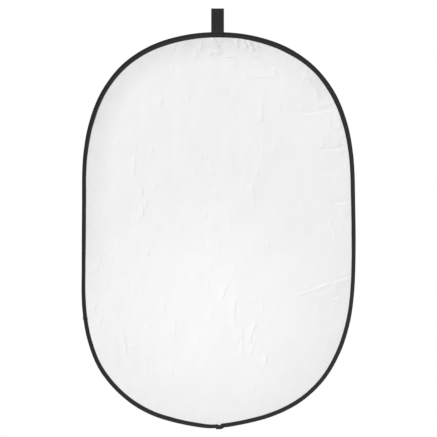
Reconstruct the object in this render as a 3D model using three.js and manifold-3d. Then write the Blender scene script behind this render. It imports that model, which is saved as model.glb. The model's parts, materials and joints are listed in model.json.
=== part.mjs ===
// Collapsible oval reflector: two cloths sewn into a bound rim of spring steel,
// hanging by a webbing loop. It folds over on itself, forwards or backwards,
// about eight level lines across its middle.
//
// Millimetres, +Z up. The white face looks towards -Y, and +X is to the right of
// someone who looks at it. The origin is where a hook bears inside the loop's top fold.

import * as THREE from 'three'
import { mergeVertices } from 'three/addons/utils/BufferGeometryUtils.js'
import Module from 'manifold-3d'

const wasm = await Module()
wasm.setup()

// Rim outline
const rimWidth = 1000
const rimHeight = 1450
const stationPitch = 25

// Spring steel strip, which stands on edge in the rim, and its splice
const bandWidth = 7
const bandThickness = 1.2
const bandEndGap = 0.6
const sleeveLength = 20
const sleeveWall = 0.8
const sleeveSlack = 0.6

// Cloths and the tape that binds them
const clothThickness = 0.4
const tapeThickness = 0.8
const tapeEdgeRound = 0.7
const seamWidthAtSides = 13.6
const seamWidthAtTop = 18
const taperLength = 3.9
const fitGap = 0.3

// Wrap of tape over the rim's joint at the bottom
const wrapLength = 24
const wrapThickness = 1.2
const wrapStep = 4.2

// Folding
const foldCount = 8
const foldPitch = 85
const foldAngle = THREE.MathUtils.degToRad(22.5)
const foldGap = 0.3

// Hang loop: webbing doubled over and sewn astride the rim
const webbingWidth = 46
const webbingThickness = 1.5
const tabRise = 87
const tabToMiddle = 4
const neckHeight = 10
const loopGap = 10
const legLap = 15.4
const legSettle = 0.5
const swingAngle = THREE.MathUtils.degToRad(110)

// Stitching that holds the loop to the rim
const threadThickness = 0.5
const threadWidth = 0.9
const stitchMargin = 2.2
const stitchHeight = 6.2

// How far a cutting shape runs past what it cuts
const cutOverrun = 5

// Outline: shares of the rim's half width and half height, from the joint at the
// bottom up the left side, over the top and down the right side.
const outlineShares = [
  [0.007, -0.997], [-0.124, -0.995], [-0.489, -0.933], [-0.7, -0.841],
  [-0.863, -0.713], [-0.956, -0.556], [-0.995, -0.398], [-1, -0.186],
  [-0.998, 0.121], [-0.987, 0.392], [-0.944, 0.547], [-0.853, 0.703],
  [-0.7, 0.839], [-0.491, 0.934], [-0.25, 0.985], [0.001, 1],
  [0.252, 0.982], [0.49, 0.927], [0.696, 0.83], [0.848, 0.697],
  [0.939, 0.543], [0.981, 0.39], [0.997, 0.12], [1, -0.123],
  [0.989, -0.319], [0.959, -0.464], [0.889, -0.615], [0.768, -0.758],
  [0.589, -0.872], [0.367, -0.945], [0.126, -0.986],
]
// The tape is widest above the second of these shares of the rim's half height
const wideTapeShares = [0.2, 0.93]
// The loop opens between these shares of the way from its neck to its fold
const loopOpenShares = [0.08, 0.8]
// The loop's layers spread below this share of the neck's height above the rim
const neckSpreadShare = 0.65
// The cloths reach this share of the way from the tape's seam to the strip's pocket
const clothLapShare = 0.5
// Stations closer than this share of a step to a piece's end are left out there
const stationMergeShare = 0.3

// Steps of the loop's rise and of its top fold
const loopSteps = 10
const loopFoldSteps = 8
// Steps in which the rim's length is measured
const arcLengthSteps = 2000

// Places worked out from the sizes above, as distances inwards from the rim's edge
const bandOuter = tapeThickness + fitGap
const bandInner = bandOuter + bandThickness
const pocketDepth = bandInner + fitGap
const seamStart = pocketDepth + taperLength
const clothInset = pocketDepth + taperLength * clothLapShare

// and as distances to each side of the middle plane
const pocketHalf = bandWidth / 2 + fitGap
const rimHalf = pocketHalf + tapeThickness
const clothFace = fitGap / 2
const clothBack = clothFace + clothThickness
const seamInside = clothBack + fitGap
const seamOutside = seamInside + tapeThickness
const neckHalf = fitGap / 2

// and as heights above the middle of the rim, or above the origin
const rimTop = webbingThickness - tabRise
const discHeight = rimTop - rimHeight / 2
const neckLine = rimTop + neckHeight
const loopFoldCentre = -loopGap / 2
const foldLines = Array.from({ length: foldCount }, (_, k) => ((foldCount - 1) / 2 - k) * foldPitch)

// Materials
const materials = {
  frontCloth: finish(0xf4f4f3, 0.62),
  backCloth: finish(0xb9bbbd, 0.34, 0.6),
  tape: finish(0x2f2f30, 0.85),
  webbing: finish(0x2e2e2f, 0.8),
  springSteel: finish(0x7d8084, 0.35, 1),
  sleeveSteel: finish(0xa3a6a8, 0.4, 1),
  thread: finish(0x252526, 0.7),
}

function finish(color, roughness, metalness = 0) {
  return new THREE.MeshStandardMaterial({ color, roughness, metalness })
}

// Solids, and the meshes made of them

function toSolid(geometry) {
  const bare = geometry.clone()
  bare.deleteAttribute('normal')
  bare.deleteAttribute('uv')
  const merged = mergeVertices(bare)
  return new wasm.Manifold(new wasm.Mesh({
    numProp: 3,
    vertProperties: new Float32Array(merged.attributes.position.array),
    triVerts: new Uint32Array(merged.index.array),
  }))
}

function toMesh(name, solid, material) {
  const { vertProperties, triVerts } = solid.getMesh()
  const geometry = new THREE.BufferGeometry()
  geometry.setAttribute('position', new THREE.BufferAttribute(vertProperties, 3))
  geometry.setIndex(new THREE.BufferAttribute(triVerts, 1))
  geometry.computeVertexNormals()
  const mesh = new THREE.Mesh(geometry, material)
  mesh.name = name
  return mesh
}

// A solid's separate bodies, from left to right
function fromLeftToRight(solid) {
  const middle = (body) => {
    const { min, max } = body.boundingBox()
    return (min[0] + max[0]) / 2
  }
  return solid.decompose().sort((a, b) => middle(a) - middle(b))
}

// An outline of [y, z] points, drawn out along X about the plane x = 0
function alongX(outline, width) {
  const shape = new THREE.Shape(outline.map(([y, z]) => new THREE.Vector2(y, z)))
  const geometry = new THREE.ExtrudeGeometry(shape, { depth: width, bevelEnabled: false })
  geometry.translate(0, 0, -width / 2)
  const axes = [new THREE.Vector3(0, 1, 0), new THREE.Vector3(0, 0, 1), new THREE.Vector3(1, 0, 0)]
  return toSolid(geometry.applyMatrix4(new THREE.Matrix4().makeBasis(...axes)))
}

// A shape drawn with x across and z up, from one depth to another along Y
function alongY(shape, from, to) {
  const geometry = new THREE.ExtrudeGeometry(shape, { depth: to - from, bevelEnabled: false })
  geometry.rotateX(Math.PI / 2)
  return toSolid(geometry.translate(0, to, 0))
}

// The region between two level hinge lines, or all beyond one. Each end on a line is a
// V with its point there, open enough for the neighbour to turn by the angle each way.
function between(low, high, halfThickness, angle, width) {
  const side = halfThickness + cutOverrun
  const slope = side * Math.tan(angle / 2)
  const end = (line, upwards) => {
    if (line === null) return [[-side, upwards * rimHeight], [side, upwards * rimHeight]]
    const point = line - upwards * foldGap / 2
    return [[-side, point - upwards * slope], [0, point], [side, point - upwards * slope]]
  }
  return alongX([...end(low, -1), ...end(high, 1).reverse()], width)
}

// The rim's path

const halfWidth = rimWidth / 2
const halfHeight = rimHeight / 2
const rimCurve = new THREE.CatmullRomCurve3(
  outlineShares.map(([x, z]) => new THREE.Vector3(x * halfWidth, 0, z * halfHeight)), true, 'centripetal')
rimCurve.arcLengthDivisions = arcLengthSteps
const rimLength = rimCurve.getLength()
const stationCount = Math.round(rimLength / stationPitch)

// A place on the rim's outer edge, so far along it from the joint, and the way inwards
function stationAt(distance) {
  const share = THREE.MathUtils.euclideanModulo(distance / rimLength, 1)
  const along = rimCurve.getTangentAt(share)
  return { at: rimCurve.getPointAt(share), inwards: new THREE.Vector3(along.z, 0, -along.x) }
}

function insetPoint({ at, inwards }, inset) {
  return at.clone().addScaledVector(inwards, inset)
}

// The shared stations between two distances along the rim, and one at each end
function stations(from, to) {
  const step = rimLength / stationCount
  const list = [from]
  for (let k = Math.ceil(from / step); k * step < to; k++) {
    const nearEnd = Math.min(k * step - from, to - k * step)
    if (nearEnd > step * stationMergeShare) list.push(k * step)
  }
  list.push(to)
  return list.map(stationAt)
}

// A closed section, given at each station as [inset, y] points that run anticlockwise
// with the inset to the right and y up, swept along the stations
function sweep(path, sectionAt) {
  const rings = path.map((station) => sectionAt(station).map(([inset, y]) => insetPoint(station, inset).setY(y)))
  const sides = rings[0].length
  const vertices = rings.flat()
  const faces = []
  for (let ring = 0; ring + 1 < rings.length; ring++) {
    for (let side = 0; side < sides; side++) {
      const a = ring * sides + side
      const b = ring * sides + (side + 1) % sides
      faces.push([a, b, b + sides], [a, b + sides, a + sides])
    }
  }
  const last = (rings.length - 1) * sides
  const section = sectionAt(path[0]).map(([inset, y]) => new THREE.Vector2(inset, y))
  for (const [a, b, c] of THREE.ShapeUtils.triangulateShape(section, [])) {
    const anticlockwise = THREE.ShapeUtils.area([section[a], section[b], section[c]]) > 0
    const [p, q] = anticlockwise ? [b, c] : [c, b]
    faces.push([a, q, p], [last + a, last + p, last + q])
  }
  const geometry = new THREE.BufferGeometry().setFromPoints(vertices)
  geometry.setIndex(faces.flat())
  return toSolid(geometry)
}

// Mirrors half a section, listed from the outer edge inwards on the -Y side
function bothSides(half) {
  return [...half, ...half.map(([inset, y]) => [inset, -y]).reverse()]
}

function rectangle(outer, inner, half) {
  return [[outer, -half], [inner, -half], [inner, half], [outer, half]]
}

// The tape: folded round the strip and flat where it is sewn to the cloths

function seamWidthAt(station) {
  const [low, high] = wideTapeShares.map((share) => share * halfHeight)
  const wide = THREE.MathUtils.smoothstep(station.at.z, low, high)
  return THREE.MathUtils.lerp(seamWidthAtSides, seamWidthAtTop, wide)
}

function tapeSection(station) {
  const seam = seamWidthAt(station)
  return bothSides([
    [0, tapeEdgeRound - rimHalf], [tapeEdgeRound, -rimHalf], [pocketDepth, -rimHalf],
    [seamStart, -seamOutside], [seam, -seamOutside],
    [seam, -seamInside], [seamStart, -seamInside],
    [pocketDepth, -pocketHalf], [tapeThickness, -pocketHalf],
  ])
}

// The joint: a crimped sleeve on the strip's two ends, and a wrap of tape over it

const sleeveInner = {
  outer: bandOuter - sleeveSlack,
  inner: bandInner + sleeveSlack,
  half: bandWidth / 2 + sleeveSlack,
}
const sleeveOuter = {
  outer: sleeveInner.outer - sleeveWall,
  inner: sleeveInner.inner + sleeveWall,
  half: sleeveInner.half + sleeveWall,
}
const wrapPocket = {
  outer: sleeveOuter.outer - fitGap,
  inner: sleeveOuter.inner + fitGap,
  half: sleeveOuter.half + fitGap,
}

function wrapSection() {
  const outer = -wrapStep
  const half = wrapPocket.half + wrapThickness
  const seam = seamWidthAtSides - wrapStep
  const taperEnd = wrapPocket.inner + taperLength
  return bothSides([
    [outer, wrapThickness - half], [outer + wrapThickness, -half], [wrapPocket.inner, -half],
    [taperEnd, -seamInside - wrapThickness], [seam, -seamInside - wrapThickness],
    [seam, -seamInside], [taperEnd, -seamInside],
    [wrapPocket.inner, -wrapPocket.half], [wrapPocket.outer, -wrapPocket.half],
  ])
}

function jointPieces() {
  const wrapPath = stations(-wrapLength / 2, wrapLength / 2)
  const sleevePath = stations(-sleeveLength / 2, sleeveLength / 2)
  const borePath = stations(-sleeveLength / 2 - cutOverrun, sleeveLength / 2 + cutOverrun)
  const shell = sweep(sleevePath, () => rectangle(sleeveOuter.outer, sleeveOuter.inner, sleeveOuter.half))
  const bore = sweep(borePath, () => rectangle(sleeveInner.outer, sleeveInner.inner, sleeveInner.half))
  return {
    wrap: sweep(wrapPath, wrapSection),
    sleeve: shell.subtract(bore),
  }
}

// The whole rim and both cloths, before the fold lines part them

const wholeTape = sweep(
  stations(wrapLength / 2 + fitGap, rimLength - wrapLength / 2 - fitGap), tapeSection)
const wholeBand = sweep(
  stations(bandEndGap / 2, rimLength - bandEndGap / 2),
  () => rectangle(bandOuter, bandInner, bandWidth / 2))

function wholeCloth(from, to) {
  const edge = stations(0, rimLength).slice(0, -1).map((station) => insetPoint(station, clothInset))
  return alongY(new THREE.Shape(edge.map(({ x, z }) => new THREE.Vector2(x, z))), from, to)
}

const wholeFront = wholeCloth(-clothBack, -clothFace)
const wholeBack = wholeCloth(clothFace, clothBack)

// The pieces of the disc between two fold lines, in a group on the upper line
function discSection(name, low, high) {
  const reach = rimWidth + cutOverrun
  const region = between(low, high, rimHalf, foldAngle, reach)
  const origin = high ?? low
  const group = new THREE.Group()
  group.position.z = origin
  const add = (label, solid, material) => {
    group.add(toMesh(label, solid.translate(0, 0, -origin), material))
  }
  add(`front_cloth_${name}`, wholeFront.intersect(region), materials.frontCloth)
  add(`back_cloth_${name}`, wholeBack.intersect(region), materials.backCloth)
  for (const [part, whole, material] of [
    ['binding', wholeTape, materials.tape],
    ['spring_band', wholeBand, materials.springSteel],
  ]) {
    const pieces = fromLeftToRight(whole.intersect(region))
    const sides = pieces.length === 1 ? [''] : ['left_', 'right_']
    pieces.forEach((piece, k) => add(`${part}_${sides[k]}${name}`, piece, material))
  }
  return group
}

// The hang loop and its legs, as strips of webbing that follow a centre line

// Moves a line of [y, z] points sideways, to the left of the way it runs
function offsetLine(line, distance) {
  const points = line.map(([y, z]) => new THREE.Vector2(y, z))
  const side = (a, b) => {
    const along = b.clone().sub(a).normalize()
    return new THREE.Vector2(-along.y, along.x)
  }
  return points.map((point, k) => {
    const before = k > 0 ? side(points[k - 1], point) : side(point, points[1])
    const after = k + 1 < points.length ? side(point, points[k + 1]) : before
    const mitre = before.clone().add(after)
    mitre.multiplyScalar(2 / mitre.lengthSq())
    return point.clone().addScaledVector(mitre, distance).toArray()
  })
}

function webbingStrip(innerLine) {
  const outerLine = offsetLine(innerLine, webbingThickness)
  return alongX([...innerLine, ...outerLine.reverse()], webbingWidth)
}

// Half the gap between the loop's two layers, at a height above the origin
function loopHalfGap(height) {
  const up = (height - neckLine) / (loopFoldCentre - neckLine)
  return THREE.MathUtils.lerp(neckHalf, loopGap / 2, THREE.MathUtils.smoothstep(up, ...loopOpenShares))
}

function hangLoop() {
  const rise = []
  for (let k = 0; k <= loopSteps; k++) {
    const height = THREE.MathUtils.lerp(neckLine, loopFoldCentre, k / loopSteps)
    rise.push([loopHalfGap(height), height])
  }
  rise.unshift([neckHalf, neckLine - cutOverrun])
  const fold = []
  for (let k = loopFoldSteps - 1; k > 0; k--) {
    const turn = Math.PI * k / loopFoldSteps
    fold.push([Math.cos(turn) * loopGap / 2, loopFoldCentre + Math.sin(turn) * loopGap / 2])
  }
  const front = rise.map(([y, z]) => [-y, z])
  const strip = webbingStrip([...front, ...fold, ...rise.reverse()])
  return strip.intersect(between(neckLine, null, loopGap, swingAngle, rimWidth))
}

// One layer of the webbing, from the loop's neck down over the side of the rim
function backLeg() {
  const strip = webbingStrip([
    [neckHalf, neckLine + cutOverrun],
    [neckHalf, rimTop + neckHeight * neckSpreadShare],
    [rimHalf + fitGap, rimTop - tapeEdgeRound],
    [rimHalf + fitGap, rimTop - pocketDepth - legSettle],
    [seamOutside + fitGap, rimTop - seamStart - legSettle],
    [seamOutside + fitGap, rimTop - legLap],
  ])
  return strip.intersect(between(null, neckLine, rimHalf, swingAngle, rimWidth))
}

// The row of thread round the flat end of the back leg
function backStitching() {
  const halfWide = webbingWidth / 2 - stitchMargin
  const low = rimTop - legLap + stitchMargin / 2
  const high = low + stitchHeight
  const shape = rectangleShape(halfWide, low, high)
  shape.holes.push(rectangleShape(halfWide - threadWidth, low + threadWidth, high - threadWidth))
  const seat = seamOutside + fitGap + webbingThickness + fitGap
  return alongY(shape, seat, seat + threadThickness)
}

function rectangleShape(halfWide, low, high) {
  return new THREE.Shape([
    new THREE.Vector2(-halfWide, low), new THREE.Vector2(halfWide, low),
    new THREE.Vector2(halfWide, high), new THREE.Vector2(-halfWide, high),
  ])
}

function mirrored(solid) {
  return solid.mirror([0, 1, 0])
}

// Assembly

const reflector = new THREE.Group()
reflector.add(toMesh('hang_loop', hangLoop(), materials.webbing))

const tab = new THREE.Group()
const leg = backLeg()
const stitching = backStitching()
tab.add(toMesh('tab_leg_front', mirrored(leg), materials.webbing))
tab.add(toMesh('tab_leg_back', leg, materials.webbing))
tab.add(toMesh('tab_stitching_front', mirrored(stitching), materials.thread))
tab.add(toMesh('tab_stitching_back', stitching, materials.thread))
reflector.add(tab)

const disc = new THREE.Group()
disc.position.set(tabToMiddle, 0, discHeight)
disc.add(discSection('top', foldLines[0], null))
for (let k = 1; k < foldCount; k++) {
  disc.add(discSection(`${k}`, foldLines[k], foldLines[k - 1]))
}
disc.add(discSection('bottom', null, foldLines[foldCount - 1]))

const joint = jointPieces()
disc.add(toMesh('joint_wrap', joint.wrap, materials.tape))
disc.add(toMesh('splice_sleeve', joint.sleeve, materials.sleeveSteel))
reflector.add(disc)

export default reflector
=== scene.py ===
import json
import math

import bpy
import numpy as np
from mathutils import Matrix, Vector
from mathutils.geometry import delaunay_2d_cdt
from mathutils.kdtree import KDTree


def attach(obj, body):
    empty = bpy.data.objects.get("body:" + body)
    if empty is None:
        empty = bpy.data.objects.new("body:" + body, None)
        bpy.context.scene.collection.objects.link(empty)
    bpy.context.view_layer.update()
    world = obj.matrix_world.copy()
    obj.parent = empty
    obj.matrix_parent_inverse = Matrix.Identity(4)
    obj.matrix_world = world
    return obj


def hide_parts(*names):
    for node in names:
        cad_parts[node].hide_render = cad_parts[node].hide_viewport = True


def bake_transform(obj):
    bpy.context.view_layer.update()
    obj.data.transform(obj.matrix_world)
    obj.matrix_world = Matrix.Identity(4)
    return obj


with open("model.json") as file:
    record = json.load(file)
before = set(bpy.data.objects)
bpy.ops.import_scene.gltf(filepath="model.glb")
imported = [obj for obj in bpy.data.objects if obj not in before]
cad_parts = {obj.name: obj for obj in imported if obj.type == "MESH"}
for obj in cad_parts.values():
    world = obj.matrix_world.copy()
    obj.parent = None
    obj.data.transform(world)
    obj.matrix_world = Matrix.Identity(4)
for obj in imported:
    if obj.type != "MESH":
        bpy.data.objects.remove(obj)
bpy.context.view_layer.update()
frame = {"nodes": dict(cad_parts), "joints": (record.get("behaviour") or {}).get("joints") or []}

# Looks for the collapsible oval reflector. Metres, +Z up. The white face looks towards -Y.
# The origin is inside the top fold of the hang loop, and the disc hangs below it.

MM = 0.001
LEAST_LENGTH = 1e-20

# Rim outline and the disc's place
HALF_WIDTH = 500 * MM
HALF_HEIGHT = 725 * MM
DISC_CENTRE = np.array([4 * MM, -810.5 * MM])
RIM_TOP = DISC_CENTRE[1] + HALF_HEIGHT

# Spring steel strip, which stands on edge inside the folded tape
BAND_WIDTH = 7 * MM
BAND_THICKNESS = 1.2 * MM
BAND_END_GAP = 0.6 * MM
BAND_EDGE_ROUND = 0.3 * MM
BAND_STEP = 9 * MM

# Cloths and the tape that binds them
CLOTH_THICKNESS = 0.4 * MM
TAPE_THICKNESS = 0.8 * MM
TAPE_CORNER = 1.2 * MM
TAPE_LAP = 0.7 * MM
SEAM_WIDTH_AT_SIDES = 13.6 * MM
SEAM_WIDTH_AT_TOP = 18 * MM
WIDE_TAPE_SHARES = (0.2, 0.93)
# How far the tape stands outside the rim's line, and how much wider it shows, in millimetres,
# by the distance along the rim from the joint, up the left side and down the right
TAPE_STANDS_OUT = (
    (0, 0.6), (140, 1.0), (280, 0.3), (350, 1.0), (460, 0.4), (560, 1.6), (700, 1.4), (840, 1.7),
    (980, 0.9), (1060, 0.9), (1230, 1.9), (1340, 1.0), (1480, 1.8), (1700, 0.6), (1830, 0.1),
    (2250, 0.1), (2320, 0.7), (2740, 0.7), (2880, 1.9), (3020, 1.2), (3370, 0.8), (3510, 1.1),
    (3650, 0.7), (3800, 0.2), (3870, 0.7), (3940, 0.1), (4080, 0.1),
)
TAPE_WAVER = (
    (0, -1.0), (35, -1.0), (75, 0.3), (140, 0.4), (220, 1.4), (280, 1.7), (350, 0.6), (490, 1.0),
    (560, -0.5), (690, -1.1), (770, -1.4), (840, -2.4), (910, -1.8), (980, -0.5), (1120, -0.8),
    (1265, -1.5), (1340, -0.4), (1480, -1.7), (1610, -2.0), (1690, -0.9), (1760, 0.0),
    (1830, 1.1), (2040, 1.0), (2110, 0.0), (2250, 1.2), (2320, 0.8), (2390, -0.9), (2460, -2.1),
    (2530, -0.3), (2740, 0.7), (2880, -0.6), (3020, -0.2), (3160, -0.8), (3310, -0.7),
    (3370, -0.2), (3710, 0.0), (3790, 1.1), (3860, 0.3), (4030, 1.1), (4080, 1.2),
)
TAPER_LENGTH = 3.9 * MM
FIT_GAP = 0.3 * MM
CLOTH_LAP_SHARE = 0.5

# Mesh of the tape: its gap at the rim's joint, steps along it, where its flat part has
# points, points of its taper and its corner, and the seeded waver of its edge and faces
TAPE_GAP = 10.4 * MM
TAPE_STEP = 5.5 * MM
TAPE_FLAT_SHARES = (0, 0.08, 0.35, 0.7)
TAPE_POINTS = (8, 5)
TAPE_EDGE_CELL = 38 * MM
TAPE_EDGE_WAVER = 0.3 * MM
TAPE_PUFF_CELL = 17 * MM
TAPE_PUFF = 0.16 * MM
TAPE_SEED = 11

# Places worked out from these, inwards from the rim's edge or out from the middle plane
BAND_OUTER = TAPE_THICKNESS + FIT_GAP
BAND_INNER = BAND_OUTER + BAND_THICKNESS
POCKET_DEPTH = BAND_INNER + FIT_GAP
SEAM_START = POCKET_DEPTH + TAPER_LENGTH
CLOTH_INSET = POCKET_DEPTH + TAPER_LENGTH * CLOTH_LAP_SHARE
RIM_HALF = BAND_WIDTH / 2 + FIT_GAP + TAPE_THICKNESS
CLOTH_MIDDLE = FIT_GAP / 2 + CLOTH_THICKNESS / 2
SEAM_OUTSIDE = FIT_GAP / 2 + CLOTH_THICKNESS + FIT_GAP + TAPE_THICKNESS

# Seam thread
STITCH_LENGTH = 3.1 * MM
STITCH_PITCH = 3.8 * MM
THREAD_RADIUS = 0.26 * MM
SEAM_MARGIN = 2.2 * MM
SEAM_GAP = 11 * MM

# Joint cover: its length, its thickness and, by distance from its middle along the rim,
# how far it stands outside the rim and how far inwards its edge reaches
COVER_FROM = -16 * MM
COVER_TO = 13.6 * MM
COVER_THICKNESS = 1.2 * MM
COVER_HALF = 6.4 * MM
COVER_STANDS_OUT = ((-16, 0.9), (-13.6, 1.6), (-10.4, 3.6), (-7.5, 4.9), (0, 5.1), (13.6, 4.7))
COVER_REACHES_IN = ((-16, 14.2), (-6.4, 14.6), (-4.4, 10.8), (3.4, 10.2), (6.4, 13.6), (13.6, 13.4))
COVER_STEP = 0.8 * MM
COVER_FLATS_IN = 9.2 * MM
COVER_TAPER_IN = 8.2 * MM
COVER_EDGE = 1.5 * MM
COVER_CORNER = 2.4 * MM
COVER_POINTS = (6, 6)

# Lap where the tape's own two ends meet, low on the left side
LAP_HEIGHT = -1132.5 * MM
LAP_LENGTH = 9 * MM
LAP_RISES = (0.5 * MM, 1.7 * MM)
LAP_WIDER = 0.4 * MM
LAP_RINGS = 10
LAP_THICKNESS = TAPE_THICKNESS / 2
LAP_STANDS_OUT = TAPE_THICKNESS * 0.75

# Hang loop
WEBBING_WIDTH = 46.8 * MM
WEBBING_THICKNESS = 1.5 * MM
NECK_HEIGHT = 10 * MM
NECK_LINE = RIM_TOP + NECK_HEIGHT
NECK_SPREAD_SHARE = 0.65
LOOP_GAP = 10 * MM
LOOP_OPEN_SHARES = (0.08, 0.8)
LOOP_STEPS = 16
LOOP_FOLD_STEPS = 12
LOOP_SOFTENING = 5
LEG_LAP = 15.4 * MM
LEG_SETTLE = 0.5 * MM
EDGE_ROUND = 0.7 * MM
WEBBING_STEP = 0.45 * MM
# Selvedge: distances in from the webbing's side, with shares of its half thickness
SELVEDGE = ((0.5 * MM, 0.82), (0, 0.4))
SELVEDGE_ROWS = (1.6 * MM, 2.4 * MM, 4 * MM)
FLAT_ROWS = 9
RIB_PITCH = 1.8 * MM
RIB_DEPTH = 0.09 * MM
TAB_STITCH_MARGIN = 2.6 * MM
TAB_STITCH_HEIGHT = 6.0 * MM
TAB_STITCH_LENGTH = 3.3 * MM
TAB_STITCH_ABOVE_END = 1.4 * MM
TAB_THREAD_RADIUS = 0.36 * MM

# Cloth relief: the crown, the gathers along the seam, the mesh and the waves
CROWN_HEIGHT = 2.6 * MM
CROWN_RUN = 40 * MM
CROWN_RUN_AT_TOP = 26 * MM
CROWN_TOP_SHARE = 0.8
GATHER_HEIGHT = 0.28 * MM
GATHER_REACH = 34 * MM
GATHER_PITCH = 21 * MM
GATHER_RISE = 12 * MM
GATHER_WAVER = 5 * MM
GATHER_SHIFT = 3
GATHER_LEAST = 0.25
GATHER_REACH_SHARES = (0.6, 0.5)
GATHER_CELLS = {"waver": 90 * MM, "phase": 60 * MM, "strength": 130 * MM, "reach": 40 * MM}
FRONT_ROWS = 28
BACK_ROWS = 18
FRONT_SEED = 5
BACK_SEED = 8
MARK_STEP = 4 * MM
# Triangles longer than this many lattice sides are slivers outside the cloth's hollow edges
LONGEST_SIDE = 3
SAME_POINT = MM / 1000
LEAST_CLEARANCE = 0.12 * MM
CLOTH_WAVES = (
    ((95 * MM, 170 * MM), 0.9 * MM),
    ((30 * MM, 62 * MM), 0.35 * MM),
    ((11 * MM, 24 * MM), 0.09 * MM),
)
# Painted shade along the seam, which greys the white: degrees anticlockwise from the right, and the
# share of white lost
SEAM_PAINTED_SHADE = (
    (-180, 0.12), (-168, 0.08), (-158, 0.04), (-147, 0.0), (-20, 0.02), (0, 0.0), (38, 0.02),
    (42, 0.09), (50, 0.1), (57, 0.09), (65, 0.12), (75, 0.15), (87, 0.2), (105, 0.21),
    (114, 0.19), (151, 0.19), (160, 0.15), (171, 0.125), (180, 0.12),
)
PAINTED_SHADE_REACH = 100 * MM
PAINTED_SHADE_CURVE = 1.2
PAINTED_SHADE_COLOUR = (0.06, 0.06, 0.058, 1)

# Creases: steps along them, least distance between their points, and the small seeded ones
CREASE_STEP = 3 * MM
CREASE_GRAIN = 0.7 * MM
CREASE_MIDWAY = 0.45
CREASE_END_SHARE = 0.3
SMALL_CREASE_HALF = (8 * MM, 26 * MM)
SMALL_CREASE_BOW = 3 * MM
SMALL_CREASE_TURN = 0.4
SMALL_STEEP_FLANK = (2.5 * MM, 4 * MM)
SMALL_GENTLE_FLANK = (6 * MM, 11 * MM)
FRONT_SMALL_CREASES = (150, 0.5 * MM)
BACK_SMALL_CREASES = (160, 0.3 * MM)

# Outline: shares of the rim's half width and half height, from the joint at the
# bottom up the left side, over the top and down the right side.
OUTLINE_SHARES = [
    (0.007, -0.997), (-0.124, -0.995), (-0.489, -0.933), (-0.7, -0.841),
    (-0.863, -0.713), (-0.956, -0.556), (-0.995, -0.398), (-1, -0.186),
    (-0.998, 0.121), (-0.987, 0.392), (-0.944, 0.547), (-0.853, 0.703),
    (-0.7, 0.839), (-0.491, 0.934), (-0.25, 0.985), (0.001, 1),
    (0.252, 0.982), (0.49, 0.927), (0.696, 0.83), (0.848, 0.697),
    (0.939, 0.543), (0.981, 0.39), (0.997, 0.12), (1, -0.123),
    (0.989, -0.319), (0.959, -0.464), (0.889, -0.615), (0.768, -0.758),
    (0.589, -0.872), (0.367, -0.945), (0.126, -0.986),
]
PATH_STEPS = 200

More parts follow.
